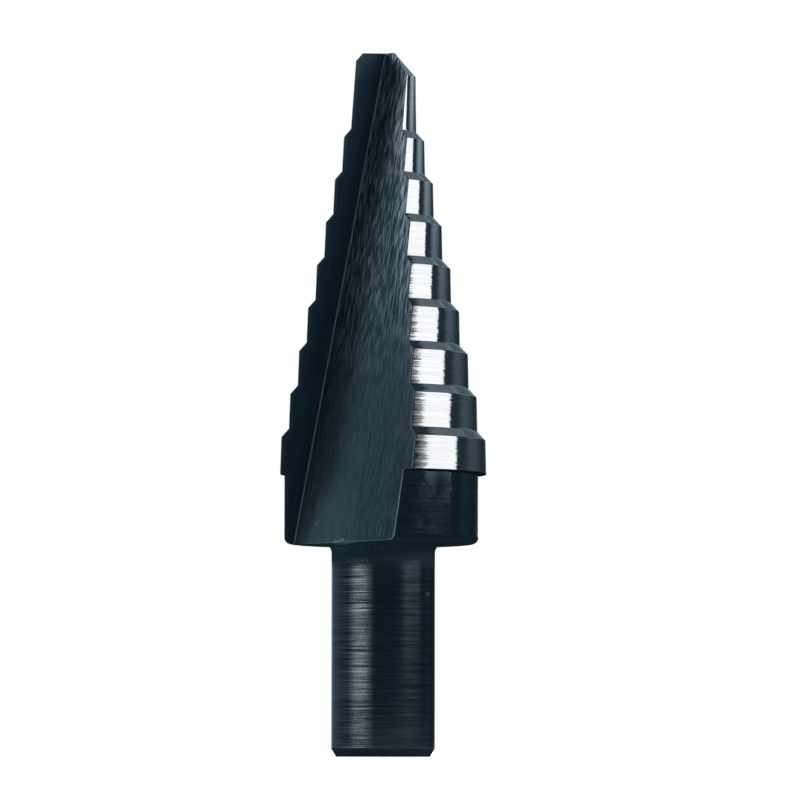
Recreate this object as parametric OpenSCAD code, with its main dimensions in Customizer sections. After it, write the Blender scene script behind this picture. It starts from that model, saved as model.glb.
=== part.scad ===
// Step drill with one straight skewed flute, turned, relieved and ground from one bar of tool steel.
// Millimetres, +Z up. The origin is the middle of the shank's end face, and the drill stands on it.
// The flute opens towards -Y and the cutting edge lies on the -X side of the axis.
// It cuts to the right, so it turns clockwise as seen from the shank's end.

/* [Shank] */
// Diameter of the plain shank
shank_d = 9.525; // [8:0.005:9.9]
// Length of the shank from its end face to the underside of the collar
shank_len = 19.5; // [12:0.5:40]
// Width of the chamfer round the shank's end face
end_chamfer_w = 0.45; // [0.2:0.05:1]
// Height of that chamfer along the shank
end_chamfer_h = 0.75; // [0.2:0.05:2]
// Radius of the hollow fillet between the shank and the collar
neck_fillet = 0.85; // [0.4:0.05:1.1]

/* [Collar] */
// Height of the plain collar under the largest step
collar_len = 6.4; // [4:0.1:12]
// Radial width of the ledge that the largest step leaves above the collar
collar_ledge = 0.585; // [0.4:0.005:1]
// How far the collar is turned off the axis, to clear the heel
collar_throw = 0.42; // [0:0.02:0.5]
// Direction of that throw round the axis, from the cutting edge's side (-X) towards the back (+Y)
collar_throw_turn = 63; // [0:1:90]
// Radius of the rounded corner at the foot of the collar
collar_corner = 0.6; // [0.3:0.05:1]

/* [Steps] */
// Number of hole sizes
step_count = 9; // [7:1:12]
// Hole size of the smallest step
first_d = 6.35; // [6:0.05:8]
// Growth of the hole size from one step to the next
step_growth = 1.5875; // [1.4:0.0125:2]
// Length of each land, which is the thickest sheet that it takes
land_len = 3.175; // [2:0.025:6]
// Length of the first land, which also guides the point
first_land_len = 6.2; // [3:0.1:12]
// Length of the land of the largest step
last_land_len = 3.4; // [2:0.1:6]
// Narrowing in radius from the bottom of a land to its top
land_taper = 0.08; // [0:0.01:0.15]
// Slope of the shoulder between two steps, measured from the axis
shoulder_angle = 45; // [35:1:60]

/* [Point] */
// Radius of the flat end of the point, at the cutting edge
point_flat_r = 2.3; // [1.8:0.05:2.8]
// Height of the point's middle above its rim
point_rise = 0.32; // [0:0.02:0.6]
// Slope of the point's chamfer, measured from the axis
point_angle = 45; // [35:1:60]

/* [Relief] */
// Drop in radius behind the cutting edge, on the smallest step
first_clearance = 0.17; // [0:0.01:0.3]
// Drop in radius behind the cutting edge, on the largest step
last_clearance = 0.03; // [0:0.01:0.3]
// Turn behind the cutting edge in which a land drops to its clearance
margin_turn = 24; // [10:1:60]
// Drop of each shoulder along the axis, from the cutting edge round to the heel
shoulder_relief = 0.3; // [0:0.02:0.6]
// Drop of the point's chamfer along the axis, from the cutting edge round to the heel
point_relief = 1.3; // [0.2:0.05:1.5]

/* [Flute] */
// Angle between the cutting face and the heel wall
flute_angle = 90; // [80:1:95]
// Radius at the root of the flute
root_r = 0.15; // [0.05:0.01:0.4]
// Turn of the flute's opening round the axis, from -Y
flute_turn = -3; // [-30:1:30]
// How far the root lies behind the axis at the point
root_back_top = 0.54; // [0.2:0.02:1]
// How far the root lies to the heel's side of the axis at the point
root_side_top = 0.12; // [0:0.01:0.3]
// How far the root lies behind the axis at the foot of the collar
root_back_foot = 1.1; // [0.8:0.02:1.6]
// Distance from the collar's side to the root at the foot of the collar
root_inset_foot = 0.6; // [0.3:0.01:1]
// How far the flute runs on past the foot of the collar
flute_runout = 1.6; // [1:0.1:3]

/* [Hidden] */
oxide = [0.13, 0.18, 0.21];
overlap = 0.5;
neck_sink = 0.02;
head_facets = 96;
root_segments = 8;
$fn = 96;

shank_r = shank_d / 2;
last_step = step_count - 1;
head_z = shank_len + collar_len;
shoulder_h = step_growth / 2 / tan(shoulder_angle);
collar_r = step_r(last_step) - collar_ledge;
rim_z = land_top(0) + (step_r(0) - land_taper - point_flat_r) / tan(point_angle);
point_z = rim_z + point_rise;
rim_relief = point_relief * tan(point_angle);

// Steps count from 0 at the point to last_step above the collar.
function step_r(i) = (first_d + i * step_growth) / 2;
function land_h(i) = i == 0 ? first_land_len : i == last_step ? last_land_len : land_len;
function land_bottom(i) = i == last_step ? head_z : land_top(i + 1) + shoulder_h;
function land_top(i) = land_bottom(i) + land_h(i);

// Flute, in the frame in which it opens straight towards -Y: its root runs from root_top to root_foot.
root_top = [root_side_top, root_back_top, point_z];
root_foot = [root_inset_foot - collar_r, root_back_foot, shank_len];
root_run = root_foot - root_top;
flute_dip = atan2(root_run.y, -root_run.z);
flute_skew = atan2(-root_run.x, norm([root_run.y, root_run.z]));
half_angle = flute_angle / 2;

// Place of the root at height z, and where a wall that leaves it at the given angle meets radius r.
function root_at(z) = root_top + root_run * (point_z - z) / (point_z - shank_len);
function wall_dir(angle) = [cos(angle), sin(angle)];
function reach(root, dir, r) = let (b = root * dir) -b + sqrt(b * b - root * root + r * r);
function meet(root, dir, r) = root + dir * reach(root, dir, r);
function wall_angle(z, r, angle) =
    let (root = root_at(z), p = meet([root.x, root.y], wall_dir(angle), r)) atan2(p.y, p.x) + flute_turn;

// The cutting edge lies at the left wall and the heel at the right one.
function edge_angle(z, r) = wall_angle(z, r, -90 - half_angle) + 360;
function heel_angle(z, r) = wall_angle(z, r, -90 + half_angle);

// Share of a drop at a turn behind the cutting edge: it eases out over the given span, stays up to the heel,
// and runs back to nothing inside the flute, where the metal is cut away.
function drop_share(turn, span, land) =
    turn <= span ? 1 - pow(1 - turn / span, 2) : turn <= land ? 1 : (360 - turn) / (360 - land);
function clearance(i) = first_clearance + (last_clearance - first_clearance) * i / last_step;

// The first land has a flat behind the lip, which starts at the cutting edge of its upper corner.
guide_r = step_r(0) - land_taper;
lip_x = guide_r * cos(edge_angle(land_top(0), guide_r));

// One ring of the head is [radius, height, clearance, relief in radius, relief along the axis, least x].
head_rings = [
    [step_r(last_step), head_z, clearance(last_step), 0, 0, -step_r(last_step)],
    for (i = [last_step:-1:1])
        each [
            [step_r(i) - land_taper, land_top(i), clearance(i), 0, shoulder_relief, -step_r(i)],
            [step_r(i - 1), land_bottom(i - 1), clearance(i - 1), 0, shoulder_relief, -step_r(i - 1)]
        ],
    [guide_r, land_top(0), clearance(0), 0, point_relief, lip_x],
    [point_flat_r, rim_z, 0, rim_relief, -rim_relief * point_rise / point_flat_r, lip_x]
];

function ring_point(ring, angle) =
    let (
        edge = edge_angle(ring[1], ring[0]),
        land = edge - heel_angle(ring[1], ring[0]),
        turn = (edge - angle + 360) % 360,
        share = drop_share(turn, land, land),
        r = ring[0] - ring[2] * drop_share(turn, margin_turn, land) - ring[3] * share
    )
    [max(r * cos(angle), ring[5]), r * sin(angle), ring[1] - ring[4] * share];

// Round bar with a chamfered end, and a hollow fillet that runs out just inside the collar
module shank() {
    neck_r = shank_r + neck_fillet;
    neck_z = shank_len - neck_fillet + neck_sink;
    color(oxide)
        rotate_extrude()
            difference() {
                union() {
                    polygon([
                        [0, 0],
                        [shank_r - end_chamfer_w, 0],
                        [shank_r, end_chamfer_h],
                        [shank_r, shank_len + overlap],
                        [0, shank_len + overlap]
                    ]);
                    translate([0, neck_z])
                        square([neck_r, shank_len + overlap - neck_z]);
                }
                translate([neck_r, neck_z])
                    circle(r = neck_fillet);
            }
}

// Plain band under the steps, turned slightly off the axis, with a rounded foot
module collar() {
    top = collar_len + overlap;
    color(oxide)
        rotate([0, 0, -collar_throw_turn])
            translate([-collar_throw, 0, shank_len])
                rotate_extrude() {
                    square([collar_r - collar_corner, top]);
                    translate([0, collar_corner])
                        square([collar_r, top - collar_corner]);
                    translate([collar_r - collar_corner, collar_corner])
                        circle(r = collar_corner);
                }
}

// Lands and shoulders as one loft: every ring drops away behind the cutting edge
module relieved_steps() {
    n = head_facets;
    last = len(head_rings) - 1;
    points = [
        for (ring = head_rings)
            for (j = [0:n - 1])
                ring_point(ring, j * 360 / n),
        [0, 0, head_z],
        [0, 0, point_z]
    ];
    bottom_middle = len(points) - 2;
    top_middle = len(points) - 1;
    sides = [
        for (k = [0:last - 1])
            for (j = [0:n - 1])
                let (a = k * n + j, b = k * n + (j + 1) % n)
                    each [[a, a + n, b + n], [a, b + n, b]]
    ];
    ends = [
        for (j = [0:n - 1])
            let (next = (j + 1) % n)
                each [[bottom_middle, j, next], [top_middle, last * n + next, last * n + j]]
    ];
    color(oxide)
        polyhedron(points = points, faces = concat(sides, ends));
}

// Rim of the grinding wheel in section: two straight flanks that meet in a round root
function wheel_section(wall) = [
    [wall * sin(half_angle), -wall * cos(half_angle)],
    for (i = [0:root_segments])
        let (a = half_angle + (180 - 2 * half_angle) * i / root_segments)
            [root_r * cos(a), root_r * sin(a) - root_r / sin(half_angle)],
    [-wall * sin(half_angle), -wall * cos(half_angle)]
];

// Path of that wheel, skewed across the head and dipping towards the collar
module flute() {
    wall = 3 * step_r(last_step);
    run = norm(root_run) + flute_runout;
    color(oxide)
        rotate([0, 0, flute_turn])
            translate(root_top)
                rotate([flute_dip, 0, 0])
                    rotate([0, flute_skew, 0])
                        translate([0, 0, -run])
                            linear_extrude(height = run + wall)
                                polygon(wheel_section(wall));
}

module step_drill() {
    color(oxide)
        difference() {
            union() {
                shank();
                collar();
                relieved_steps();
            }
            flute();
        }
}

step_drill();
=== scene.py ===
# %% [markdown]
# # A step drill in blackened tool steel
# The drill is one piece of steel. A lathe turns its shank, collar and steps, a cam pulls the
# grinding wheel in behind the cutting edge, and a V-shaped wheel then cuts the one straight flute.
# Each cell below adds one of these stages to the model, or one of its finishes.

import math
from types import SimpleNamespace

import bmesh
import bpy
from mathutils import Matrix, Vector


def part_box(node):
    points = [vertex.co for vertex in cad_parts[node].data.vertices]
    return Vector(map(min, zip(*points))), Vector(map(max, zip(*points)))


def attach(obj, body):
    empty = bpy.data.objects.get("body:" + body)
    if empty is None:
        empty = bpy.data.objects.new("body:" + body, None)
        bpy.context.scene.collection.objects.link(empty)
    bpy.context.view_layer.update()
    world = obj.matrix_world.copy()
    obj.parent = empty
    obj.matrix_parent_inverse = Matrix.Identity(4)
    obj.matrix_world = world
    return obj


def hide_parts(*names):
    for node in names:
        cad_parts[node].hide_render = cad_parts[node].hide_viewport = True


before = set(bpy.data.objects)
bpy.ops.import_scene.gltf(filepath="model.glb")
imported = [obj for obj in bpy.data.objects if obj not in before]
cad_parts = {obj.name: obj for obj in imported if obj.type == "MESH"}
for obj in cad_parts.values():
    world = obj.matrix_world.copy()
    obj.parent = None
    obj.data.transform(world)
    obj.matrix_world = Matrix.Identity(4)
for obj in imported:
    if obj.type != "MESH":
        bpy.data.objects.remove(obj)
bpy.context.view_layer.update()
drill_low, drill_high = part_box("step_drill")
MM = 0.001
print("CAD box in mm:", [round(v / MM, 2) for v in (*drill_low, *drill_high)])

# %% [markdown]
# ## The camera first
# The photograph was taken from a fair distance, almost from the level of the bench and tilted up a
# little, which is why the ledges show their undersides. A long lens far away keeps the shank's
# sides nearly parallel. The same could be done with a shifted lens, but a tilt needs no shift and
# gives the slight narrowing towards the point that the photograph has. The camera was not quite
# level either, so it is rolled by a twelfth of a degree.

# %% Camera
CAMERA_DISTANCE = 420 * MM
CAMERA_SIDE = 1.563 * MM
CAMERA_HEIGHT = 1.0 * MM
CAMERA_TILT = math.radians(4.33)
CAMERA_ROLL = math.radians(-0.08)
LENS, SENSOR = 205.5, 36.0

camera_data = bpy.data.cameras.new("photo_camera")
camera_data.sensor_width = SENSOR
camera_data.lens = LENS
camera_data.clip_start = 0.01
camera_data.clip_end = 20.0
camera = bpy.data.objects.new("photo_camera", camera_data)
camera.location = (CAMERA_SIDE, -CAMERA_DISTANCE, CAMERA_HEIGHT)
camera.rotation_euler = (math.pi / 2 + CAMERA_TILT, CAMERA_ROLL, 0)
bpy.context.scene.collection.objects.link(camera)
bpy.context.scene.camera = camera
print("the camera sees", round(CAMERA_DISTANCE * SENSOR / LENS / MM, 1), "mm at the drill")

# %% [markdown]
# ## The lathe profile
# A turned part is fully described by one line from its lower end to its upper end: radius against
# height. The corners are written down as real sizes, each with the small rounding that a tool nose
# or a honing stone leaves there. Steps follow a rule, so a loop writes them: every step is 1/16
# inch wider than the one above it, with a land as long as the thickest sheet and a 45 degree
# shoulder.

# %% Sizes of the turned bar, in millimetres
SHANK_R = 9.525 / 2
SHANK_LEN = 19.5
END_CHAMFER_W, END_CHAMFER_H = 0.45, 0.75
NECK_FILLET = 0.85
COLLAR_LEN = 6.4
COLLAR_LEDGE = 0.585
COLLAR_THROW = 0.42
COLLAR_CORNER = 0.6
STEP_COUNT = 9
FIRST_D, STEP_GROWTH = 6.35, 1.5875
FIRST_LAND_LEN, LAND_LEN, LAST_LAND_LEN = 6.2, 3.175, 3.4
LAND_TAPER = 0.08
POINT_FLAT_R, POINT_RISE = 2.3, 0.32
FIRST_CLEARANCE, LAST_CLEARANCE = 0.17, 0.03
SHOULDER_RELIEF, POINT_RELIEF = 0.30, 1.30

STEP_R = [(FIRST_D + i * STEP_GROWTH) / 2 for i in range(STEP_COUNT)]
COLLAR_R = STEP_R[-1] - COLLAR_LEDGE
GUIDE_R = STEP_R[0] - LAND_TAPER
HEAD_Z = SHANK_LEN + COLLAR_LEN
LANDS_LEN = LAST_LAND_LEN + (STEP_COUNT - 2) * LAND_LEN + FIRST_LAND_LEN
GUIDE_Z = HEAD_Z + LANDS_LEN + (STEP_R[-1] - STEP_R[0])
RIM_Z = GUIDE_Z + GUIDE_R - POINT_FLAT_R
POINT_Z = RIM_Z + POINT_RISE
print("steps in mm:", [round(2 * r, 3) for r in STEP_R], "point at", round(POINT_Z, 3))

# %% [markdown]
# ## The flute's two walls
# The wheel that cuts the flute runs at a slant: its rim starts just behind the axis at the point
# and comes out near the collar's side at the foot. The rim is a right angle, so one pass leaves the
# cutting face and the heel wall together. A Boolean could cut the same flute, but it gives a ragged
# seam on such thin slivers. Because both walls are planes, each level of the drill can be written
# as an exact outline instead: land, heel, heel wall, root, cutting face and cutting edge.

# %% Run of the grinding wheel
FLUTE_ANGLE = math.radians(90)
FLUTE_TURN = math.radians(-3)
ROOT_R = 0.15
ROOT_SIDE_TOP, ROOT_BACK_TOP = 0.12, 0.54
ROOT_INSET_FOOT, ROOT_BACK_FOOT = 0.6, 1.1
turned = Matrix.Rotation(FLUTE_TURN, 3, "Z")
root_top = Vector((ROOT_SIDE_TOP, ROOT_BACK_TOP, POINT_Z))
root_foot = Vector((ROOT_INSET_FOOT - COLLAR_R, ROOT_BACK_FOOT, SHANK_LEN))
root_run = (root_top - root_foot).normalized()
wheel_dip = Matrix.Rotation(math.atan2(-root_run.y, root_run.z), 3, "X")
wheel_skew = Matrix.Rotation(math.asin(root_run.x), 3, "Y")


def wall_direction(side):
    """Level direction in which a wall leaves the root: 1 is the heel wall, -1 the cutting face."""
    flank = Vector((side * math.sin(FLUTE_ANGLE / 2), -math.cos(FLUTE_ANGLE / 2), 0))
    flank = wheel_dip @ wheel_skew @ flank
    return (turned @ (flank - root_run * (flank.z / root_run.z))).normalized()


def wall_meets(direction, radius, z):
    """Point where a wall leaves a round of the given radius at height z."""
    share = (POINT_Z - z) / (POINT_Z - SHANK_LEN)
    start = turned @ root_top.lerp(root_foot, share)
    start.z = 0
    along = start.dot(direction)
    half_chord = math.sqrt(along * along - start.length_squared + radius * radius)
    return start + direction * (half_chord - along)


heel_wall, cutting_wall = wall_direction(1), wall_direction(-1)
lip = wall_meets(cutting_wall, GUIDE_R, GUIDE_Z)
wall_turns = [round(math.degrees(math.atan2(w.y, w.x)), 2) for w in (heel_wall, cutting_wall)]
print("walls leave the root at", wall_turns, "degrees, lip at", [round(v, 3) for v in lip[:2]])

# %% [markdown]
# ## Corners with their roundings
# Each corner says how wide and how high it is, how much it is rounded and which finish starts
# there. Behind the cutting edge a land first drops by its clearance and then by its relief, so that
# only the edge rubs in the hole; the first land also has a flat behind the lip. Level faces rise by
# a hundredth of a millimetre, so that every later ring lies above the one before. In the hollows
# and under the ledges the oxide stays raw, and there a new finish starts late, part of the way
# round the corner.

# %% Corner list
LEVEL_RISE = 0.01
HONE, NOSE = 0.045, 0.08
END_ROUNDING, SHANK_ROUNDING = 0.12, 0.25
NO_LIP = -99.0
PLAIN = dict(drop_in=0.0, drop_down=0.0, throw=0.0, lip=NO_LIP, late=0.0)


def corner(r, z, rounding, finish, clearance=0.0, **others):
    return dict(PLAIN, r=r, z=z, rounding=rounding, finish=finish, clearance=clearance, **others)


def clearance(i):
    return FIRST_CLEARANCE + (LAST_CLEARANCE - FIRST_CLEARANCE) * i / (STEP_COUNT - 1)


def shank_and_collar():
    return [corner(0, 0, 0, "raw"),
            corner(SHANK_R - END_CHAMFER_W, 0, END_ROUNDING, "raw"),
            corner(SHANK_R, END_CHAMFER_H, SHANK_ROUNDING, "shank", late=0.5),
            corner(SHANK_R, SHANK_LEN, NECK_FILLET, "raw"),
            corner(COLLAR_R, SHANK_LEN + LEVEL_RISE, COLLAR_CORNER, "collar",
                   throw=COLLAR_THROW, late=0.97),
            corner(COLLAR_R, HEAD_Z, NOSE, "raw", throw=COLLAR_THROW)]


def lands_and_point():
    last = STEP_COUNT - 1
    corners = [corner(STEP_R[last], HEAD_Z + LEVEL_RISE, HONE, "land", clearance(last), late=0.9)]
    z = HEAD_Z + LAST_LAND_LEN
    for i in range(last, 0, -1):
        corners.append(corner(STEP_R[i] - LAND_TAPER, z, HONE, "shoulder", clearance(i),
                              drop_down=SHOULDER_RELIEF))
        z += STEP_GROWTH / 2
        corners.append(corner(STEP_R[i - 1], z, NOSE, "land", clearance(i - 1),
                              drop_down=SHOULDER_RELIEF))
        z += LAND_LEN
    corners.append(corner(GUIDE_R, GUIDE_Z, HONE, "point", clearance(0), drop_down=POINT_RELIEF,
                          lip=lip.x))
    corners.append(corner(POINT_FLAT_R, RIM_Z, HONE, "point", drop_in=POINT_RELIEF,
                          drop_down=-POINT_RELIEF * POINT_RISE / POINT_FLAT_R, lip=lip.x))
    return corners


CORNERS = shank_and_collar() + lands_and_point()
print("corners on the profile:", len(CORNERS))

# %% [markdown]
# ## From corners to rings
# A sharp corner in a render looks like paper. Here every corner of the profile is swapped for a
# short arc that touches both of its neighbours, and a ring just before and just after the arc keeps
# the smooth shading of the flat parts flat. A Bevel modifier could round them too, but it can't
# give each corner its own radius, and it would fail where the flute's wall runs out on the fillet.

# %% Rings along the rounded profile
SUPPORT, SUPPORT_SHARE = 0.03, 0.2
MOST_OF_A_SIDE = 0.4
LARGE_RADIUS, FINE_ARC, COARSE_ARC, LEAST_STEPS = 0.4, 4.5, 10, 3
FINISHES = ("raw", "shank", "collar", "land", "shoulder", "point", "heel_wall", "cutting_face")
OWN_FACTS = ("clearance", "drop_in", "drop_down", "throw", "lip")
RING_FACTS = ("radius", "height", *OWN_FACTS, "rise", "pinch", "finish")


def ring(place, at, pinch=0.0, rise=0.0, finish=None):
    sizes = (place.x, place.y, *(at[name] for name in OWN_FACTS), rise)
    return (*(size * MM for size in sizes), pinch, FINISHES.index(finish or at["finish"]))


def rounded(before, at, after):
    """Rings of the arc at one corner, with a supporting ring on either side."""
    here = Vector((at["r"], at["z"]))
    to_here = here - Vector((before["r"], before["z"]))
    from_here = Vector((after["r"], after["z"])) - here
    into, out = to_here.normalized(), from_here.normalized()
    turn = into.angle(out)
    reach = min(at["rounding"] * math.tan(turn / 2), MOST_OF_A_SIDE * to_here.length,
                MOST_OF_A_SIDE * from_here.length)
    radius = reach / math.tan(turn / 2)
    side = (out - into * out.dot(into)).normalized()
    start, degrees_a_step = here - into * reach, FINE_ARC if radius > LARGE_RADIUS else COARSE_ARC
    steps = max(LEAST_STEPS, round(math.degrees(turn) / degrees_a_step))
    early = before["finish"] if at["late"] else at["finish"]
    rings = [ring(start - into * min(SUPPORT, SUPPORT_SHARE * to_here.length), at, finish=early)]
    for k in range(steps + 1):
        angle = turn * k / steps
        place = start + into * radius * math.sin(angle) + side * radius * (1 - math.cos(angle))
        rings.append(ring(place, at, finish=early if k < at["late"] * steps else None))
    rings.append(ring(here + out * (reach + min(SUPPORT, SUPPORT_SHARE * from_here.length)), at))
    return rings


def end_face_rings():
    return [ring(Vector((share * (SHANK_R - END_CHAMFER_W), 0)), CORNERS[0]) for share in (0, 0.96)]


def rim_rings():
    """Rim of the point, a shallow cone that closes on a place between the root and the back."""
    rim, root_rise = CORNERS[-1], POINT_RISE * (1 - root_top.xy.length / POINT_FLAT_R)
    closing = [(HONE, 0), (0.3 * HONE, 0), (0, 0), (0, 0.06), (0, 0.5), (0, 1)]
    return [ring(Vector((rim["r"] + inset, rim["z"] - inset)), rim, pinch, root_rise + inset)
            for inset, pinch in closing]


RINGS = end_face_rings()
for neighbours in zip(CORNERS, CORNERS[1:], CORNERS[2:]):
    RINGS += rounded(*neighbours)
RINGS += rim_rings()
print("rings on the profile:", len(RINGS))

# %% Profile as a mesh that carries the facts
profile_mesh = bpy.data.meshes.new("turned_profile")
profile_mesh.from_pydata([(r[0], 0, r[1]) for r in RINGS],
                         [(i, i + 1) for i in range(len(RINGS) - 1)], [])
for name, values in zip(RING_FACTS, zip(*RINGS)):
    layer = profile_mesh.attributes.new(name, "FLOAT", "POINT")
    layer.data.foreach_set("value", values)
drill = bpy.data.objects.new("step_drill_steel", profile_mesh)
bpy.context.scene.collection.objects.link(drill)
print("highest ring at", round(max(r[1] for r in RINGS) / MM, 3), "mm")

# %% [markdown]
# ## Writing sums as nodes
# Geometry Nodes and shader nodes share the same Math and Vector Math nodes. A small class lets
# Python's own plus, minus and times add those nodes, so that a rule reads like the drawing it comes
# from.

# %% Values in a node tree
def plug(slot, value):
    if isinstance(value, Field):
        value.tree.links.new(value.socket, slot)
    else:
        slot.default_value = value


def calc(tree, operation, *values):
    """Adds a Math node, or a Vector Math node where one of the values is a vector."""
    vectors = any(isinstance(v, Field) and v.is_vector for v in values)
    node = tree.nodes.new("ShaderNodeVectorMath" if vectors else "ShaderNodeMath")
    node.operation = operation
    slots = (node.inputs[0], node.inputs["Scale"]) if operation == "SCALE" else node.inputs
    for slot, value in zip(slots, values):
        plug(slot, value)
    gives_number = vectors and operation in ("DOT_PRODUCT", "LENGTH", "DISTANCE")
    return Field(tree, node.outputs[1 if gives_number else 0])


class Field:
    """One output socket; any other name, such as sine or minimum, is the operation of a node."""

    def __init__(self, tree, socket):
        self.tree, self.socket, self.is_vector = tree, socket, socket.type == "VECTOR"

    def __add__(self, other):
        return calc(self.tree, "ADD", self, other)

    def __sub__(self, other):
        return calc(self.tree, "SUBTRACT", self, other)

    def __mul__(self, other):
        one_is_number = self.is_vector and not getattr(other, "is_vector", isinstance(other, tuple))
        return calc(self.tree, "SCALE" if one_is_number else "MULTIPLY", self, other)

    def __truediv__(self, other):
        return calc(self.tree, "DIVIDE", self, other)

    def __getattr__(self, operation):
        return lambda *others: calc(self.tree, operation.upper(), self, *others)

    def clamp(self, low=0.0, high=1.0):
        return self.maximum(low).minimum(high)

    def flip(self):
        return calc(self.tree, "SUBTRACT", 1.0, self)

    def parts(self):
        node = self.tree.nodes.new("ShaderNodeSeparateXYZ")
        self.tree.links.new(self.socket, node.inputs[0])
        return [Field(self.tree, socket) for socket in node.outputs]

    def mix(self, a, b):
        """Colour a where this value is 0, and colour b where it is 1."""
        # A Mix node has one set of sockets for each kind of data; these are the ones for colours.
        node = self.tree.nodes.new("ShaderNodeMix")
        node.data_type = "RGBA"
        for slot, value in zip((node.inputs[0], node.inputs[6], node.inputs[7]), (self, a, b)):
            plug(slot, value)
        return Field(self.tree, node.outputs[2])


# %% Other nodes as values
def vector(tree, x, y, z=0.0):
    node = tree.nodes.new("ShaderNodeCombineXYZ")
    for slot, value in zip(node.inputs, (x, y, z)):
        plug(slot, value)
    return Field(tree, node.outputs[0])


def node_field(tree, kind, output=0, settings=(), **inputs):
    """Any other node, with its settings and inputs by name, as a field of one of its outputs."""
    node = tree.nodes.new(kind)
    for name, value in settings:
        setattr(node, name, value)
    for name, value in inputs.items():
        plug(node.inputs[name.replace("_", " ")], value)
    return Field(tree, node.outputs[output])


print("fields ready")

# %% [markdown]
# ## The bar as one node tree
# The tree lays out a flat grid, one row for each ring and one column for each place round it, and
# bends that grid into the bar. Sample Index looks up what the profile says about a row. Nine turned
# discs could be stacked instead, but a flute that runs through all of them is only smooth if they
# are one skin. Every size is a named input, so the same tree makes any drill of this kind.

# %% Tree with named inputs
BAR_INPUTS = {
    "Geometry": ("Profile",),
    "Int": ("Rings", "Land columns", "Wall columns"),
    "Vector": ("Heel wall", "Cutting wall", "Root at point", "Root at foot", "Throw direction",
               "Cap centre"),
    "Float": ("Root radius", "Heel hone", "Edge hone", "Margin turn")}


def bar_tree():
    """An empty tree, and the sizes that it is given as fields."""
    tree = bpy.data.node_groups.new("fluted_bar", "GeometryNodeTree")
    for kind, names in BAR_INPUTS.items():
        for name in names:
            tree.interface.new_socket(name=name, in_out="INPUT", socket_type="NodeSocket" + kind)
    tree.interface.new_socket(name="Bar", in_out="OUTPUT", socket_type="NodeSocketGeometry")
    group_in = tree.nodes.new("NodeGroupInput")
    return tree, {socket.name: Field(tree, socket) for socket in group_in.outputs if socket.name}


print("inputs of the tree:", sum(len(names) for names in BAR_INPUTS.values()))

# %% Flat grid of rings and columns
CORNER_COLUMNS = 4
NUMBER = (("data_type", "FLOAT"),)


def flat_grid(tree, given):
    """The grid, its width in columns, and the column and the row of a place on it."""
    columns = given["Land columns"] + given["Wall columns"] * 2.0 + 3.0 * CORNER_COLUMNS
    rows = given["Rings"] - 1.0
    grid = node_field(tree, "GeometryNodeMeshGrid", Size_X=columns, Size_Y=rows,
                      Vertices_X=columns + 1.0, Vertices_Y=given["Rings"])
    x, y, _ = node_field(tree, "GeometryNodeInputPosition").parts()
    return grid, columns, x + columns * 0.5, y + rows * 0.5


def fact(tree, given, name, row):
    """What the profile says about a row."""
    value = node_field(tree, "GeometryNodeInputNamedAttribute", settings=NUMBER, Name=name)
    return node_field(tree, "GeometryNodeSampleIndex", settings=NUMBER,
                      Geometry=given["Profile"], Value=value, Index=row)


print("columns round each corner:", CORNER_COLUMNS)

# %% [markdown]
# ### Where the walls leave the bar
# These places come from the usual formula for a line that meets a circle. Where the line misses the
# circle, as it does all along the shank, the walls shrink to nothing and the ring is a plain
# circle. Everything is measured from the middle of the ring, because the collar is thrown a little
# off the axis.

# %% Lines and circles as nodes
def level(v):
    return v * (1.0, 1.0, 0.0)


def meets(start, direction, circle, side):
    """Where a line from start meets a circle round the middle: side 1 is the far point."""
    along = start.dot_product(direction)
    off = along * along - start.dot_product(start) + circle * circle
    return start + direction * (off.maximum(0.0).sqrt() * side - along)


def angle_of(v):
    x, y, _ = v.parts()
    return y.arctan2(x)


def on_circle(angle, circle, z):
    return vector(angle.tree, angle.cosine() * circle, angle.sine() * circle, z)


def outline_corners(given, at):
    """Cutting edge, heel and root of the flute on a row: the outline, called o from here on."""
    top, foot = given["Root at point"], given["Root at foot"]
    top_z, foot_z = top.parts()[2], foot.parts()[2]
    middle = given["Throw direction"] * at.throw

    def root_at(z):
        return top + (foot - top) * ((top_z - z) / (top_z - foot_z)) - middle

    heel_r, heel_z = at.radius - at.clearance - at.drop_in, at.height - at.drop_down
    root, heel_root = level(root_at(at.height)), level(root_at(heel_z))
    inside = root.length().less_than(at.radius)
    cut_exit = meets(root, given["Cutting wall"], at.radius, 1.0)
    chord_entry = meets(root, given["Heel wall"], at.radius, -1.0)
    edge_angle = angle_of(chord_entry + (cut_exit - chord_entry) * inside)
    edge_angle = edge_angle + edge_angle.less_than(math.pi / 2) * (2 * math.pi)
    heel_angle = angle_of(meets(heel_root, given["Heel wall"], heel_r, 1.0))
    edge = on_circle(edge_angle, at.radius, at.height)
    inner = edge + (root_at(at.height + at.rise) - edge) * inside
    heel = on_circle(heel_angle, heel_r, heel_z)
    return SimpleNamespace(middle=middle, edge=edge, edge_angle=edge_angle, inner=inner,
                           heel=heel, heel_angle=heel_angle, heel_r=heel_r, heel_z=heel_z)


# %% [markdown]
# ### Round the ring
# From the cutting edge the land runs back to the heel: it drops quickly behind the margin, and then
# the cam eases the wheel in. From the heel the outline follows the two walls through the root to
# the cutting edge again. Each stretch is added where the last one ended, and the corners between
# them are small curves, so that heel, root and cutting edge are rounded by their own amount.

# %% Reach of the roundings
# The column next to a corner is moved up to it, within a tenth, to support the smooth shading.
END_COLUMN = 0.9
NO_LENGTH, NO_RADIUS = 1e-9, 1e-6


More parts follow.
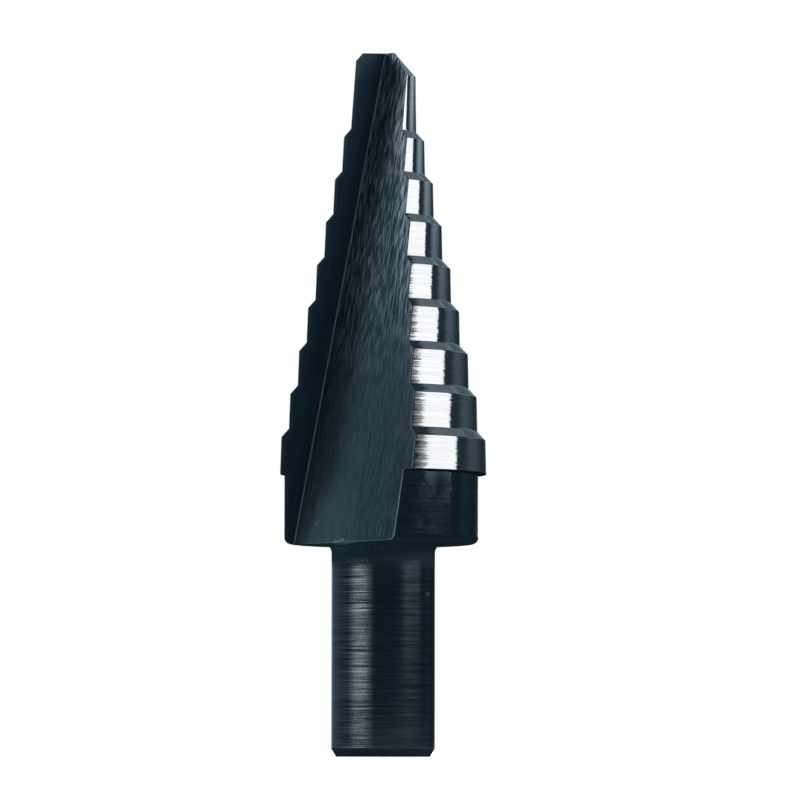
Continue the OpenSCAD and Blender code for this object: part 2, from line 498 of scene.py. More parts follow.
def round_walls(given, o):
    """How far each rounding reaches along the walls, and which way they run."""
    o.heel_length, o.edge_length = (o.inner - o.heel).length(), (o.inner - o.edge).length()
    most_heel, most_edge = o.heel_length * MOST_OF_A_SIDE, o.edge_length * MOST_OF_A_SIDE
    o.heel_hone = given["Heel hone"].minimum(most_heel)
    o.edge_hone = given["Edge hone"].minimum(most_edge)
    o.root_reach = given["Root radius"].minimum(most_edge).minimum(most_heel)
    tree = o.inner.tree
    o.to_inner = (o.inner - o.heel) * calc(tree, "DIVIDE", 1.0, o.heel_length.maximum(NO_LENGTH))
    o.to_edge = (o.edge - o.inner) * calc(tree, "DIVIDE", 1.0, o.edge_length.maximum(NO_LENGTH))


# %% Land and walls
def along_land(given, at, o, column):
    """Place on the land, and the land's two ends."""
    first = o.edge_angle - o.edge_hone / at.radius.maximum(NO_RADIUS)
    last = o.heel_angle + o.heel_hone / o.heel_r.maximum(NO_RADIUS)
    t = ((column - END_COLUMN) / (given["Land columns"] - 2 * END_COLUMN)).clamp()
    slow = (t.flip() * t.flip()).flip()
    quick = (((first - last) * t) / given["Margin turn"]).clamp().flip()
    quick = (quick * quick).flip()
    radius = at.radius - at.clearance * quick - at.drop_in * slow
    place = on_circle(first + (last - first) * t, radius, at.height - at.drop_down * slow)
    return place, on_circle(first, at.radius, at.height), on_circle(last, o.heel_r, o.heel_z)


def along_walls(given, o, column, place, land_start, land_end):
    """Adds one stretch after the other to the place, each from where the last one ended."""
    wall_a, wall_b = o.heel + o.to_inner * o.heel_hone, o.inner - o.to_inner * o.root_reach
    wall_c, wall_d = o.inner + o.to_edge * o.root_reach, o.edge - o.to_edge * o.edge_hone
    begin = given["Land columns"]
    for a, bend, b in ((land_end, o.heel, wall_a), (wall_a, None, wall_b),
                       (wall_b, o.inner, wall_c), (wall_c, None, wall_d),
                       (wall_d, o.edge, land_start)):
        if bend:
            t = ((column - begin) / CORNER_COLUMNS).clamp()
            place = place + ((bend - a) * (t * t.flip() * 2.0) + (b - a) * (t * t))
            begin = begin + CORNER_COLUMNS
        else:
            t = ((column - begin - END_COLUMN) / (given["Wall columns"] - 2 * END_COLUMN)).clamp()
            place = place + (b - a) * (t * t * calc(t.tree, "SUBTRACT", 3.0, t * 2.0))
            begin = begin + given["Wall columns"]
    return place


# %% [markdown]
# ### What the finishes need to know
# A finish follows how the surface was cut, so the tree notes on each face which tool made it, and
# on each point how close it lies to the heel, the cutting edge and the root, and how far it is from
# the wall's outer edge in millimetres. They are stored as attributes while the grid is still flat,
# where a row and a column say exactly what a place is.

# %% Facts for the finishes
CAP_PINCH, LEAST_WALL = 0.01, 2e-4


def near(column, centre):
    """1 on one column, and nothing from half a corner's columns away."""
    return ((column - centre).absolute() * (2 / CORNER_COLUMNS)).flip().clamp()


def finish_facts(tree, given, at, o, columns, column_mid, row_mid, place):
    """Name, domain and value of each attribute."""
    column, half_corner = column_mid.round(), 0.5 * CORNER_COLUMNS
    wall_start, wall_end = given["Land columns"] + half_corner, columns - half_corner
    root_column = given["Land columns"] + given["Wall columns"] + 1.5 * CORNER_COLUMNS
    on_flute = column_mid.greater_than(wall_start) * column_mid.less_than(wall_end)
    on_flute = on_flute * at.pinch.less_than(CAP_PINCH)
    finish = fact(tree, given, "finish", row_mid.floor())
    wall_finish = column_mid.greater_than(root_column) + float(FINISHES.index("heel_wall"))
    past_root, cut = column.greater_than(root_column), o.heel_length.greater_than(LEAST_WALL)
    from_edge = ((o.edge - place).length() * past_root
                 + (o.heel - place).length() * past_root.flip())
    return (("finish", "FACE", finish + (wall_finish - finish) * on_flute),
            ("heel_edge", "POINT", near(column, wall_start) * cut),
            ("cutting_edge", "POINT", near(column, wall_end) * cut),
            ("root_line", "POINT", near(column, root_column) * cut),
            ("from_edge", "POINT", from_edge / MM))


# %% The whole tree
MERGE_WITHIN, SAME_FINISH = 1e-6, 0.3


def with_materials(tree, geometry):
    """Sets the material of each face by the number of its finish."""
    number = node_field(tree, "GeometryNodeInputNamedAttribute", settings=NUMBER, Name="finish")
    for index, name in enumerate(FINISHES):
        geometry = node_field(tree, "GeometryNodeSetMaterial", Geometry=geometry,
                              Material=FINISH_MATERIALS[name],
                              Selection=number.compare(float(index), SAME_FINISH))
    return geometry


def fluted_bar():
    tree, given = bar_tree()
    geometry, columns, column_mid, row_mid = flat_grid(tree, given)
    column, row = column_mid.round(), row_mid.round()
    at = SimpleNamespace(**{name: fact(tree, given, name, row) for name in RING_FACTS[:-1]})
    o = outline_corners(given, at)
    round_walls(given, o)
    place = along_walls(given, o, column, *along_land(given, at, o, column))
    x, y, z = place.parts()
    thrown = vector(tree, x.maximum(at.lip), y, z) + o.middle
    seated = thrown + (given["Cap centre"] - thrown) * at.pinch
    facts = finish_facts(tree, given, at, o, columns, column_mid, row_mid, place)
    for name, domain, value in facts:
        geometry = node_field(tree, "GeometryNodeStoreNamedAttribute", Geometry=geometry, Name=name,
                              Value=value, settings=(*NUMBER, ("domain", domain)))
    geometry = node_field(tree, "GeometryNodeSetPosition", Geometry=geometry, Position=seated)
    geometry = node_field(tree, "GeometryNodeMergeByDistance", Geometry=geometry,
                          Distance=MERGE_WITHIN)
    geometry = node_field(tree, "GeometryNodeRealizeInstances", Geometry=geometry)
    geometry = with_materials(tree, geometry)
    group_out = tree.nodes.new("NodeGroupOutput")
    tree.links.new(geometry.socket, group_out.inputs[0])
    print("nodes in the tree:", len(tree.nodes))
    return tree


# %% [markdown]
# ## Blackened steel
# Most finishes on the drill start from the same dark oxide: a metal that reflects a fifth of the
# light at most, and a little less of the red. What tells the surfaces apart is how each was cut. A
# pattern that is stretched many times longer than it is wide gives the marks of a tool, and the
# same marks drive the tone, the roughness and the bump, because on the real part they are one
# thing.

# %% Patterns on the part
def object_point(tree):
    return node_field(tree, "ShaderNodeTexCoord", output="Object")


def height_in_mm(tree):
    return object_point(tree).parts()[2] / MM


def placed(tree, centre, turn, size):
    """Place on the part in a pattern's own frame, whose centre and size are in millimetres."""
    node = tree.nodes.new("ShaderNodeMapping")
    node.vector_type = "TEXTURE"
    node.inputs["Location"].default_value = [c * MM for c in centre]
    node.inputs["Rotation"].default_value = turn
    node.inputs["Scale"].default_value = [s * MM for s in size]
    tree.links.new(object_point(tree).socket, node.inputs["Vector"])
    return Field(tree, node.outputs[0])


def marks(tree, period, detail=3.0, roughness=0.6, turn=(0, 0, 0), shift=(0, 0, 0)):
    """Noise in lines: period is the length of one wave along each axis, in millimetres."""
    return node_field(tree, "ShaderNodeTexNoise", Vector=placed(tree, shift, turn, period),
                      Scale=1.0, Detail=detail, Roughness=roughness)


def ramp(value, low, high, from_low=0.3, from_high=0.7, soft=False):
    """Maps a value between two limits onto a new range and holds it there."""
    settings = (("interpolation_type", "SMOOTHSTEP" if soft else "LINEAR"),)
    return node_field(value.tree, "ShaderNodeMapRange", settings=settings, Value=value,
                      From_Min=from_low, From_Max=from_high, To_Min=low, To_Max=high)


def stroke(tree, start, end, width):
    """1 along a short scratch between two places in millimetres, or on a dot if they are one."""
    start, end = Vector(start), Vector(end)
    along = end - start
    turn = along.to_track_quat("Z", "Y").to_euler() if along.length else (0, 0, 0)
    size = (width / 2, width / 2, (width + along.length) / 2)
    return ramp(placed(tree, (start + end) / 2, turn, size).length(), 1.0, 0.0, 0.5, 1.2, soft=True)


def attribute(tree, name):
    node = tree.nodes.new("ShaderNodeAttribute")
    node.attribute_name = name
    return Field(tree, node.outputs["Fac"])


# %% Oxide steel
OXIDE_TINT = (0.68, 0.98, 1.14)
BLUED = ((0.0155, 0.034, 0.047, 1), (0.0195, 0.042, 0.057, 1))
BLUED_LIGHT = (0.034, 0.069, 0.086, 1)
SOOT, SOOT_LIGHT = (0.0160, 0.034, 0.043, 1), (0.032, 0.062, 0.074, 1)
COLD = (0.39, 0.46, 0.51)


def oxide(level, warmth=0.0):
    """Tint of the oxide at one level of reflection; warmth 1 is neutral bare steel."""
    return tuple(level * (c + (1.0 - c) * warmth) for c in OXIDE_TINT) + (1,)


def steel(name, metallic=1.0, tint=(0.45, 0.46, 0.47)):
    """An empty oxide steel, and its tree and shader to build on."""
    material = bpy.data.materials.new(name)
    material.use_nodes = True
    shader = material.node_tree.nodes["Principled BSDF"]
    shader.inputs["Metallic"].default_value = metallic
    shader.inputs["Specular Tint"].default_value = (*tint, 1)
    return material, material.node_tree, shader


def coat(shader, colour, roughness):
    plug(shader.inputs["Base Color"], colour)
    plug(shader.inputs["Roughness"], roughness)


def worn_edges_and_highlight(tree, colour, share=0.7):
    """Bare steel where edge oxide wore off in patches; at the heel's edge also a painted highlight.
    """
    # Along the heel's edge this lightening also stands in for the edge's highlight, a painted
    # highlight.
    edges = attribute(tree, "heel_edge").maximum(attribute(tree, "cutting_edge") * 0.3)
    patchy = ramp(marks(tree, (0.25, 0.25, 0.6), shift=(5, 2, 9)), 0.35, 1.0, 0.35, 0.6)
    return (edges.clamp() * patchy * share).mix(colour, oxide(0.42, 0.6))


def bump(shader, height, distance):
    """Bump from a height between 0 and 1, with the real depth of the marks in millimetres."""
    plug(shader.inputs["Normal"], node_field(height.tree, "ShaderNodeBump", Strength=1.0,
                                             Distance=distance * MM, Height=height))


print("oxide at a level of 0.1:", [round(c, 3) for c in oxide(0.1)[:3]])


# %% Where each finish goes
FINISH_MATERIALS = {}


def finish_for(places, material):
    """Keeps a material under the names of the places that it is for."""
    FINISH_MATERIALS.update((place, material) for place in places)
    print(material.name, "for", " and ".join(places), "has", len(material.node_tree.nodes), "nodes")


# %% [markdown]
# ### Ground lands
# The lands are ground last and used most, so they carry the thinnest oxide and the highest gloss,
# and the first land, which starts every hole, has the least of all. Fine lines run round them. They
# show only where a window's reflection ends, as a ragged edge. A bump that fine would drown in the
# pixels, so the surface is tilted sideways line by line instead, by a degree or two. The chamfer of
# the point is ground by hand, which leaves it rougher.

# %% Ground lands
FACES_RIGHT = (0.4, 0.65)
CALM_SHARE = 0.35
CALM_FROM = (42, 56)
FIRST_LAND_FROM = (57, 59)


def wander(tree, shader, lines, amount):
    """Tilts the surface sideways line by line, less where it faces right."""
    normal = node_field(tree, "ShaderNodeNewGeometry", output="Normal")
    right, back, _ = normal.parts()
    sideways = vector(tree, back * -1.0, right)
    tilt = (lines - 0.5) * ramp(right, amount, amount * CALM_SHARE, *FACES_RIGHT)
    plug(shader.inputs["Normal"], (normal + sideways * tilt).normalize())


def ground_land():
    material, tree, shader = steel("ground_land", tint=(0.42, 0.46, 0.49))
    lines = marks(tree, (9, 9, 0.06), detail=2)
    bands = marks(tree, (20, 20, 0.5), detail=2, shift=(3, 1, 7))
    specks = marks(tree, (0.5, 0.5, 0.22), shift=(8, 3, 2))
    tone = ramp(lines * 0.6 + bands * 0.25 + specks * 0.15, 0.0, 1.0, 0.36, 0.64)
    colour = tone.mix(oxide(0.128, 0.87), oxide(0.156, 0.87))
    first_land = tone.mix(oxide(0.14, 0.95), oxide(0.20, 0.95))
    on_first = ramp(height_in_mm(tree), 0.0, 1.0, *FIRST_LAND_FROM)
    coat(shader, worn_edges_and_highlight(tree, on_first.mix(colour, first_land)),
         ramp(lines * 0.7 + specks * 0.3, 0.05, 0.09, 0.36, 0.64))
    wander(tree, shader, lines, ramp(height_in_mm(tree), 0.36, 0.15, *CALM_FROM))
    return material


def hand_ground_point():
    material, tree, shader = steel("hand_ground_point")
    strokes = marks(tree, (0.16, 0.16, 0.5), turn=(0.3, 0.5, 0), shift=(1, 8, 4))
    coat(shader, ramp(strokes, 0.0, 1.0).mix(oxide(0.14), oxide(0.42, 0.6)),
         ramp(strokes, 0.34, 0.44))
    bump(shader, strokes, 0.01)
    return material


finish_for(("land", "shoulder"), ground_land())
finish_for(("point",), hand_ground_point())

# %% [markdown]
# ### Heel wall
# The wheel leaves long scratches that follow its run from the point to the foot. On the heel wall
# they lie close together and grow coarser towards the point, where the wheel began to chatter, with
# dark and bright wisps that cross the scratches at a small angle. A light border runs along the
# heel. A few marks of wear are placed one by one: two crossed scratches and some chips at the foot,
# and a nick on the root near the point.

# %% Places on the heel wall, in millimetres
CHATTER_TURN = math.radians(-3)
wheel_frame = turned @ wheel_dip @ wheel_skew
wheel_turn = wheel_frame.to_euler()
chatter_turn = (wheel_frame @ Matrix.Rotation(CHATTER_TURN, 3, "Y")).to_euler()
HEEL_SCRATCHES = (((-6.29, -0.28, 21.39), (-5.92, -0.65, 21.62), 0.11),
                  ((-6.29, -0.28, 21.39), (-5.89, -0.76, 21.15), 0.11),
                  ((-0.29, 0.50, 62.6), (-0.29, 0.50, 62.1), 0.35))
FOOT_CHIPS = ((-4.5, -2.55, 19.62), (-3.25, -3.9, 19.84), 0.3)
FOOT_LINE_UP, FOOT_LINE_WIDTH = 0.06, 0.12
CHATTER_FROM, BORDER_FROM, BORDER_UNTIL, REFLECTION_AT_FOOT_UNTIL = (30, 46), (43, 60), (62.3, 64), (22, 34)

foot_root = (turned @ root_foot).xy
foot_heel = wall_meets(heel_wall, COLLAR_R - COLLAR_CORNER, SHANK_LEN).xy
FOOT_LINE = (*((*end, SHANK_LEN + FOOT_LINE_UP) for end in (foot_root, foot_heel)), FOOT_LINE_WIDTH)
print("foot of the heel wall from", [round(v, 2) for v in foot_root],
      "to", [round(v, 2) for v in foot_heel])


# %% Heel wall
def wall_ground(tree, fine, streaks):
    """Colour under the wisps: scratches, painted reflection at the foot, light border along the
    heel.
    """
    z, from_edge = height_in_mm(tree), attribute(tree, "from_edge")
    tone = ramp(fine * 0.7 + streaks * 0.3, 0.0, 1.0, 0.41, 0.59)
    colour = tone.mix((0.011, 0.032, 0.042, 1), (0.044, 0.064, 0.074, 1))
    # Painted reflection of the light on the left: the wall is lightened low down and away from the
    # heel.
    painted_reflection = ramp(z, 1.0, 0.0, *REFLECTION_AT_FOOT_UNTIL) * ramp(from_edge, 0.0, 1.0, 4, 8)
    colour = (painted_reflection * 0.35).mix(colour, oxide(0.14))
    chatter = ramp(z, 0.0, 1.0, *CHATTER_FROM, soft=True)
    ragged = from_edge + (fine - 0.5) * 2.5
    border = ramp(ragged, 1.0, 0.0, 0.1, 1.9, soft=True) * chatter
    tip = ramp(z, 0.25, 0.95, *BORDER_FROM, soft=True) * ramp(z, 1.0, 0.2, *BORDER_UNTIL)
    return (border * tip).mix(colour, oxide(0.17, 0.55)), border, chatter


def with_wisps(tree, colour, border, chatter):
    wisps = marks(tree, (0.11, 0.11, 1.7), detail=0.5, turn=chatter_turn, shift=(7, 7, 3))
    dark = ramp(wisps, 0.0, 0.85, 0.46, 0.40) * chatter
    colour = dark.mix(colour, (0.010, 0.026, 0.035, 1))
    bright = ramp(wisps, 0.0, 0.95, 0.55, 0.585) * chatter * (border * 0.6 + 0.4)
    return bright.mix(colour, oxide(0.38, 0.6))


def with_wear_and_root_highlight(tree, colour):
    # Painted highlight: the root line is lightened where its small rounding catches the light.
    colour = (attribute(tree, "root_line") * 0.6).mix(colour, oxide(0.24, 0.2))
    for scratch in HEEL_SCRATCHES:
        colour = (stroke(tree, *scratch) * 0.6).mix(colour, oxide(0.25, 0.4))
    colour = (stroke(tree, *FOOT_LINE) * 0.6).mix(colour, oxide(0.2, 0.2))
    chips = ramp(marks(tree, (0.13, 0.13, 0.2), detail=1, shift=(4, 9, 1)), 0.0, 1.0, 0.52, 0.62)
    return (stroke(tree, *FOOT_CHIPS) * chips).mix(colour, oxide(0.32, 0.4))


def brushed_wall():
    material, tree, shader = steel("brushed_wall", metallic=0.6, tint=COLD)
    fine = marks(tree, (0.13, 0.13, 1.5), detail=1, roughness=0.5, turn=wheel_turn)
    streaks = marks(tree, (0.45, 0.45, 9), turn=wheel_turn, shift=(4, 2, 1))
    colour = with_wisps(tree, *wall_ground(tree, fine, streaks))
    coat(shader, worn_edges_and_highlight(tree, with_wear_and_root_highlight(tree, colour)), ramp(streaks, 0.30, 0.42))
    bump(shader, fine * 0.6 + streaks * 0.4, 0.003)
    return material


finish_for(("heel_wall",), brushed_wall())

# %% [markdown]
# ### Cutting face
# The face in front of the cutting edge was honed after grinding and blued again. It hardly mirrors,
# which is why it is no metal here but a smooth dark coat, and it has one lighter band along its
# edge. It shares the turned frame of the wheel with the heel wall, but a material of its own keeps
# the coarse scratches of one off the other.

# %% Cutting face
TIP_SCRATCH = ((-1.21, -0.61, 64.85), (-1.21, -0.36, 63.53), 0.1)


def honed_face():
    material, tree, shader = steel("honed_face", metallic=0.0, tint=COLD)
    lines = marks(tree, (0.3, 0.3, 9), turn=wheel_turn, shift=(1, 6, 2))
    band = ramp(attribute(tree, "from_edge"), 1.0, 0.0, 0.3, 0.55, soft=True)
    colour = ramp(lines, 0.0, 1.0, 0.36, 0.64).mix(*BLUED)
    colour = (band * 0.6).mix(colour, BLUED_LIGHT)
    # Painted highlight: the root line is lightened where its small rounding catches the light.
    colour = (attribute(tree, "root_line") * 0.6).mix(colour, oxide(0.2, 0.2))
    colour = (stroke(tree, *TIP_SCRATCH) * 0.5).mix(colour, BLUED_LIGHT)
    coat(shader, worn_edges_and_highlight(tree, colour), ramp(lines, 0.13, 0.19))
    return material


finish_for(("cutting_face",), honed_face())

# %% [markdown]
# ### Collar and shank
# These were turned and then blackened, and nothing has ground them since. The collar is smooth with
# a faint cloud in the oxide. The shank keeps the lathe's feed marks, faint all round. On one strip
# at the front, where the shank mirrors the glow on the left, the rings hold a painted highlight.
# Towards the neck the metal passes raggedly into soot, so the Metallic value falls there too.

# %% Collar
def plain_collar():
    material, tree, shader = steel("plain_collar")
    cloud = marks(tree, (1.1, 1.1, 1.5), detail=4)
    lines = marks(tree, (9, 9, 0.16), shift=(2, 5, 3))
    tone = ramp(cloud * 0.5 + lines * 0.5, 0.0, 1.0, 0.36, 0.64)
    coat(shader, worn_edges_and_highlight(tree, tone.mix(oxide(0.056), oxide(0.078))),
         ramp(cloud * 0.6 + lines * 0.4, 0.05, 0.09, 0.36, 0.64))
    wander(tree, shader, marks(tree, (0.5, 0.5, 0.35), shift=(1, 1, 6)), 0.6)
    return material


finish_for(("collar",), plain_collar())

# %% Shank
SHANK_DOT = ((3.95, -2.66, 14.83), (4.21, -2.24, 14.83), 0.42)
HIGHLIGHT_STRIP_LEFT, HIGHLIGHT_STRIP_RIGHT = (-4.0, -3.2), (-1.6, -0.6)
BLOTCHES_FROM, SOOT_FROM = (17.6, 18.4), (17.7, 19.1)


def feed_marks_and_painted_highlight(tree, rings, x, y):
    """Colour of the turned rings with a painted highlight on one strip, and how much lies on it."""
    bands = marks(tree, (30, 30, 0.9), detail=2, shift=(1, 4, 2))
    grain = marks(tree, (0.16, 0.16, 0.12), detail=2, shift=(6, 1, 4))
    thin = marks(tree, (8, 8, 0.07), detail=1, shift=(3, 7, 5))
    # Painted highlight: where the shank mirrors the glow on the left, a strip at the front gets
    # bright rings.
    strip = ramp(x, 0.1, 1.0, *HIGHLIGHT_STRIP_LEFT) * ramp(x, 1.0, 0.06, *HIGHLIGHT_STRIP_RIGHT) * y.less_than(0.0)
    tone = ramp(rings * 0.6 + bands * 0.15 + grain * 0.25, 0.0, 1.0, 0.44, 0.56)
    clear = tone.mix(oxide(0.014), oxide(0.104, 0.3))
    clear = ramp(thin, 0.0, 0.8, 0.56, 0.66).mix(clear, oxide(0.22, 0.5))
    return strip.mix(tone.mix(oxide(0.05), oxide(0.064)), clear), strip


def turned_shank():
    material, tree, shader = steel("turned_shank")
    rings = marks(tree, (6, 6, 0.15), roughness=0.7)
    blotch = marks(tree, (0.22, 0.22, 0.2), shift=(2, 2, 8))
    z = height_in_mm(tree)
    x, y, _ = (object_point(tree) * (1 / MM)).parts()
    colour, strip = feed_marks_and_painted_highlight(tree, rings, x, y)
    colour = stroke(tree, *SHANK_DOT).mix(colour, oxide(0.16, 0.8))
    # The lighter blotches near the neck lie only on the painted highlight strip.
    near_neck = ramp(z, 0.0, 1.0, *BLOTCHES_FROM, soft=True) * strip
    colour = (near_neck * ramp(blotch, 0.0, 0.7, 0.5, 0.62)).mix(colour, oxide(0.1, 0.2))
    sooty = ramp(z + blotch * 1.6, 0.0, 1.0, *SOOT_FROM, soft=True)
    gloss = ramp(rings, 0.09, 0.14, 0.36, 0.64) + ramp(x, 0.0, 0.03, 0.0, 1.5)
    coat(shader, worn_edges_and_highlight(tree, sooty.mix(colour, SOOT)), gloss + sooty * 0.12)
    plug(shader.inputs["Metallic"], sooty.flip())
    shader.inputs["Specular IOR Level"].default_value = 0.0
    return material


finish_for(("shank",), turned_shank())

# %% [markdown]
# ### Raw oxide
# In the hollows, which nothing has touched, the oxide is raw: matt like soot, with a few blotches
# under the collar on the left. It mirrors nothing, so its Specular level is nought. On the collar's
# rounded foot a painted shade under the ledge makes it darker still, as in the photograph.

# %% Raw oxide
BLOTCHES_UNTIL, SHADE_UNDER_COLLAR = (0.5, 2.5), (19.53, 19.8)


def raw_oxide():
    material, tree, shader = steel("raw_oxide", metallic=0.0)
    shader.inputs["Specular IOR Level"].default_value = 0.0
    blotch = ramp(marks(tree, (0.24, 0.24, 0.16), shift=(2, 2, 8)), 0.0, 0.8, 0.52, 0.64)
    left_side = ramp(object_point(tree).parts()[0] / MM, 1.0, 0.1, *BLOTCHES_UNTIL)
    colour = (blotch * left_side).mix(SOOT, SOOT_LIGHT)
    # Painted shade: the collar's rounded foot, under the ledge, is darkened.
    rim = ramp(height_in_mm(tree), 0.0, 0.8, *SHADE_UNDER_COLLAR)
    colour = rim.mix(colour, (0.006, 0.014, 0.019, 1))
    coat(shader, worn_edges_and_highlight(tree, colour, 0.8), ramp(blotch, 0.5, 0.4, 0.0, 1.0))
    return material


finish_for(("raw",), raw_oxide())

# %% [markdown]
# ## Making the bar
# The tree is fed with this drill's sizes, and its result is taken off as a plain mesh. The faces
# are then turned outwards and checked: a closed solid has a positive volume and no open edge.

# %% Fluted bar
THROW_TURN = math.radians(63)
MARGIN_TURN = math.radians(24)
LAND_COLUMNS, WALL_COLUMNS = 112, 16
HEEL_HONE, EDGE_HONE = 0.10, 0.03
CAP_BEHIND_ROOT = 0.4


def plain_mesh(obj, tree, sizes):
    """Runs a node tree on an object once and keeps its result as an ordinary mesh."""
    modifier = obj.modifiers.new(tree.name, "NODES")
    modifier.node_group = tree
    for item in tree.interface.items_tree:
        if item.in_out == "INPUT" and item.name in sizes:
            modifier[item.identifier] = sizes[item.name]
    evaluated = obj.evaluated_get(bpy.context.evaluated_depsgraph_get())
    mesh = bpy.data.meshes.new_from_object(evaluated)
    obj.modifiers.remove(modifier)
    old, obj.data = obj.data, mesh
    bpy.data.meshes.remove(old)
    mesh.name = obj.name
    return mesh


cap_centre = turned @ (root_top + Vector((0, CAP_BEHIND_ROOT, 0)))
cap_centre.z = POINT_Z - POINT_RISE * cap_centre.xy.length / POINT_FLAT_R
bar_mesh = plain_mesh(drill, fluted_bar(), {
    "Rings": len(RINGS), "Land columns": LAND_COLUMNS, "Wall columns": WALL_COLUMNS,
    "Heel wall": heel_wall, "Cutting wall": cutting_wall,
    "Root at point": turned @ root_top * MM, "Root at foot": turned @ root_foot * MM,
    "Throw direction": Vector((-math.cos(THROW_TURN), math.sin(THROW_TURN), 0)),
    "Cap centre": cap_centre * MM, "Margin turn": MARGIN_TURN,
    "Root radius": ROOT_R * MM, "Heel hone": HEEL_HONE * MM, "Edge hone": EDGE_HONE * MM})
print("points:", len(bar_mesh.vertices))

# %% Outward faces and the CAD node that the bar stands for
NO_AREA = 1e-7
work = bmesh.new()
work.from_mesh(bar_mesh)
bmesh.ops.dissolve_degenerate(work, dist=NO_AREA, edges=work.edges)
bmesh.ops.recalc_face_normals(work, faces=work.faces)
if work.calc_volume(signed=True) < 0:
    bmesh.ops.reverse_faces(work, faces=work.faces)
for face in work.faces:
    face.smooth = True
print("bar:", len(work.faces), "faces,", round(work.calc_volume() / MM ** 3, 1), "mm3,",
      sum(len(e.link_faces) != 2 for e in work.edges), "open edges")
work.to_mesh(bar_mesh)
work.free()
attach(drill, "root")
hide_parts("step_drill")

# %% [markdown]
# ## Studio
# A dark, glossy object is lit by what it reflects, so each lamp is placed by the surface that
# mirrors it. The lands lean back by their taper, so they mirror a level above the shank and the
# collar: a softbox whose lower edge lies just between the two draws bright windows on the lands
# alone. A weak strip beside it lets the windows of the wider lands fade towards the heel. A cool
# panel behind the drill on the left fills the heel wall, and one high on the right the shoulders.

# %% Lamps
COOL = (0.80, 0.91, 1.0)
DAYLIGHT = (1.0, 0.965, 0.96)
LAMP_TARGET = Vector((0, 0, 28)) * MM
WINDOW_UP, WINDOW_HEIGHT = 11.9, 15.8


def softbox(name, azimuth, elevation, width, height, radiance, colour, distance=0.6):
    """Panel that faces the drill; its angles are in degrees, from the camera towards +X."""
    a, e = math.radians(azimuth), math.radians(elevation)
    away = Vector((math.sin(a) * math.cos(e), -math.cos(a) * math.cos(e), math.sin(e)))
    data = bpy.data.lights.new(name, "AREA")
    data.shape = "RECTANGLE"
    data.size = 2 * distance * math.tan(math.radians(width / 2))
    data.size_y = 2 * distance * math.tan(math.radians(height / 2))
    data.energy = radiance * math.pi * data.size * data.size_y
    data.color = colour
    lamp = bpy.data.objects.new(name, data)
    lamp.location = LAMP_TARGET + away * distance
    lamp.rotation_euler = away.to_track_quat("Z", "Y").to_euler()
    lamp.visible_camera = False
    bpy.context.scene.collection.objects.link(lamp)
    print(name, "from", azimuth - width / 2, "to", azimuth + width / 2, "degrees")


softbox("window_right", 69, WINDOW_UP, 41, WINDOW_HEIGHT, 6.7, DAYLIGHT)
softbox("window_spill", 44.25, WINDOW_UP, 8.5, WINDOW_HEIGHT, 1.4, DAYLIGHT)
softbox("panel_left", -110, 29, 40, 24, 1.75, COOL)
softbox("panel_above", 128, 50, 40, 26, 0.8, COOL, distance=0.7)

# %% [markdown]
# ## Room
# The room is dim and cool, which gives the blacks of the oxide their blue. It holds what the lamps
# don't: a round glow on the left, which the shank mirrors as a soft band, lighter air behind the
# drill on the left for the heel wall, a glow behind it on the right that rises with height and
# shows in the right side of each land, and a patch above that for the shoulders. Big panels could
# do the same, but their edges would show in the gloss. To the camera, and straight behind the drill
# also to the steel, the room is white paper.

# %% Light of the room
GLOW_TURN, GLOW_UP, GLOW_LEVEL = math.radians(-53.5), 0.02, 1.6
ROOM_COLOUR = (0.095, 0.175, 0.235)
WHITE = (1, 1, 1, 1)


def room_light(tree, towards):
    """Colour of the air in each direction; right, back and up run from -1 to 1."""
    right, back, up = towards.parts()
    on_left, on_right = right.less_than(0.0), right.greater_than(0.0)
    glow_at = (math.sin(GLOW_TURN), -math.cos(GLOW_TURN), GLOW_UP)
    glow = ramp(towards.dot_product(glow_at).arccosine(), GLOW_LEVEL, 0.0, 0.03, 0.62, soft=True)
    left_back = on_left * (ramp(back, 0.0, 0.26, -0.25, 0.1) + ramp(back, 0.0, 0.8, 0.3, 0.72))
    rising = ramp(up, 0.0, 0.27, 0.045, 0.10) + ramp(up, 0.0, 3.3, 0.105, 0.21, soft=True) + 0.1
    round_right = ramp(back, 0.0, 1.0, 0.24, 0.46) * ramp(back, 1.0, 0.0, 0.65, 0.9)
    right_back = on_right * round_right * rising * ramp(up, 1.0, 0.0, 0.25, 0.38)
    upper_right = on_right * ramp(up, 0.0, 0.7, 0.17, 0.3) * ramp(up, 1.0, 0.0, 0.62, 0.8)
    upper_right = upper_right * ramp(back, 0.0, 1.0, 0.58, 0.68)
    light = vector(tree, *ROOM_COLOUR) + vector(tree, *WHITE[:3]) * glow
    for strength in (left_back, right_back, upper_right):
        light = light + vector(tree, *COOL) * strength
    return light


# %% White paper behind the drill
STRAIGHT_BEHIND = (0.96, 0.995)


def rays(tree):
    """Which rays come from the camera, which are mirrored and which pass through."""
    path = tree.nodes.new("ShaderNodeLightPath")
    return [Field(tree, path.outputs["Is " + kind + " Ray"])
            for kind in ("Camera", "Glossy", "Transmission")]


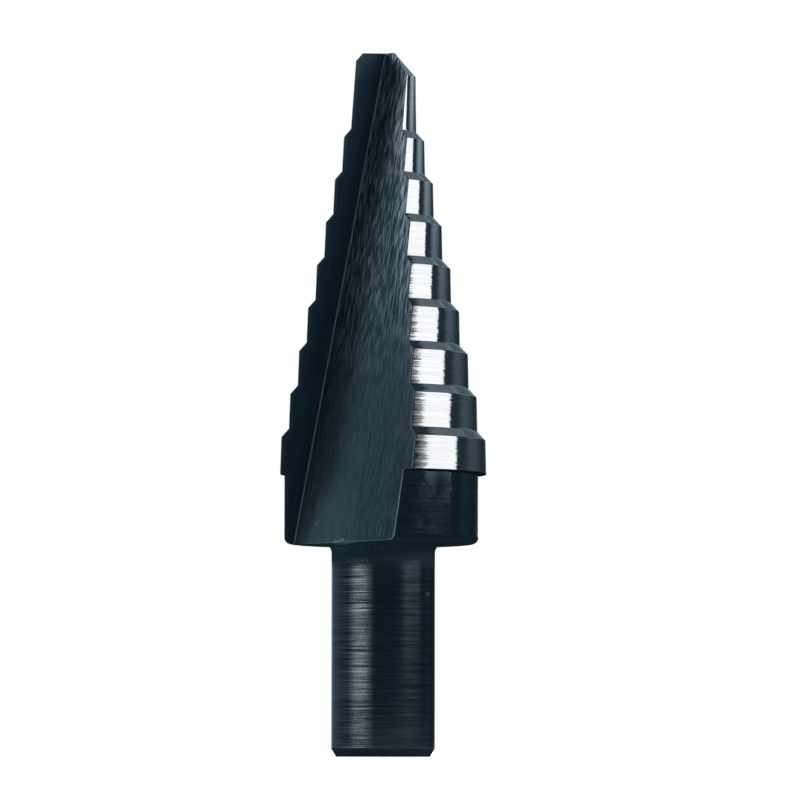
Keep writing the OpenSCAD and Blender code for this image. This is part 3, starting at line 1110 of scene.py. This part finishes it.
def room():
    world = bpy.data.worlds.new("studio_room")
    world.use_nodes = True
    tree = world.node_tree
    tree.nodes.clear()
    towards = node_field(tree, "ShaderNodeTexCoord", output="Generated")
    seen, glossy, through = rays(tree)
    paper = ramp(towards.parts()[1], 0.0, 1.0, *STRAIGHT_BEHIND)
    white = (seen + through + glossy * paper).clamp()
    dim = node_field(tree, "ShaderNodeBackground", Color=room_light(tree, towards), Strength=1.0)
    bright = node_field(tree, "ShaderNodeBackground", Color=WHITE, Strength=1.0)
    mixed = tree.nodes.new("ShaderNodeMixShader")
    for slot, value in zip(mixed.inputs, (white, dim, bright)):
        plug(slot, value)
    out = tree.nodes.new("ShaderNodeOutputWorld")
    tree.links.new(mixed.outputs[0], out.inputs[0])
    print("nodes in the room:", len(tree.nodes))
    return world


bpy.context.scene.world = room()

# %% [markdown]
# ## Strip of paper
# The drill stands on a strip of the same paper. It is just bright enough to read as white from a
# few centimetres away, and a little darker under the drill, so the shadow at the foot still shows.
# The steel mirrors less than half of that extra light, or the shank's foot would glow.

# %% Strip of paper
STRIP_WIDTH, STRIP_FRONT, STRIP_BACK = 0.2, -0.15, 0.6
PAPER_DARK, PAPER_LIGHT = (0.86, 0.86, 0.86, 1), (0.9, 0.9, 0.9, 1)
MIRRORED_SHARE = 0.45
LIFT_AT_FOOT, LIFT_FROM = 0.6, (0.02, 0.12)


def paper():
    material = bpy.data.materials.new("white_paper")
    material.use_nodes = True
    tree = material.node_tree
    tree.nodes.clear()
    grain = marks(tree, (0.4, 0.4, 0.4), detail=4)
    diffuse = node_field(tree, "ShaderNodeBsdfDiffuse", Color=grain.mix(PAPER_DARK, PAPER_LIGHT))
    seen, glossy, through = rays(tree)
    seen = (seen + (glossy + through) * MIRRORED_SHARE).clamp()
    lift = ramp(object_point(tree).length(), LIFT_AT_FOOT, 1.0, *LIFT_FROM, soft=True)
    glow = node_field(tree, "ShaderNodeEmission", Color=WHITE, Strength=seen * lift)
    both = tree.nodes.new("ShaderNodeAddShader")
    plug(both.inputs[0], diffuse)
    plug(both.inputs[1], glow)
    out = tree.nodes.new("ShaderNodeOutputMaterial")
    tree.links.new(both.outputs[0], out.inputs[0])
    return material


def paper_floor():
    bpy.ops.mesh.primitive_plane_add(size=1)
    floor = bpy.context.object
    floor.name = "paper_floor"
    for vertex in floor.data.vertices:
        vertex.co.x *= STRIP_WIDTH
        vertex.co.y = STRIP_BACK if vertex.co.y > 0 else STRIP_FRONT
    floor.data.materials.append(paper())
    return floor


paper_floor()
bpy.context.scene.view_settings.view_transform = "Standard"
print("paper from", STRIP_FRONT, "to", STRIP_BACK, "m")
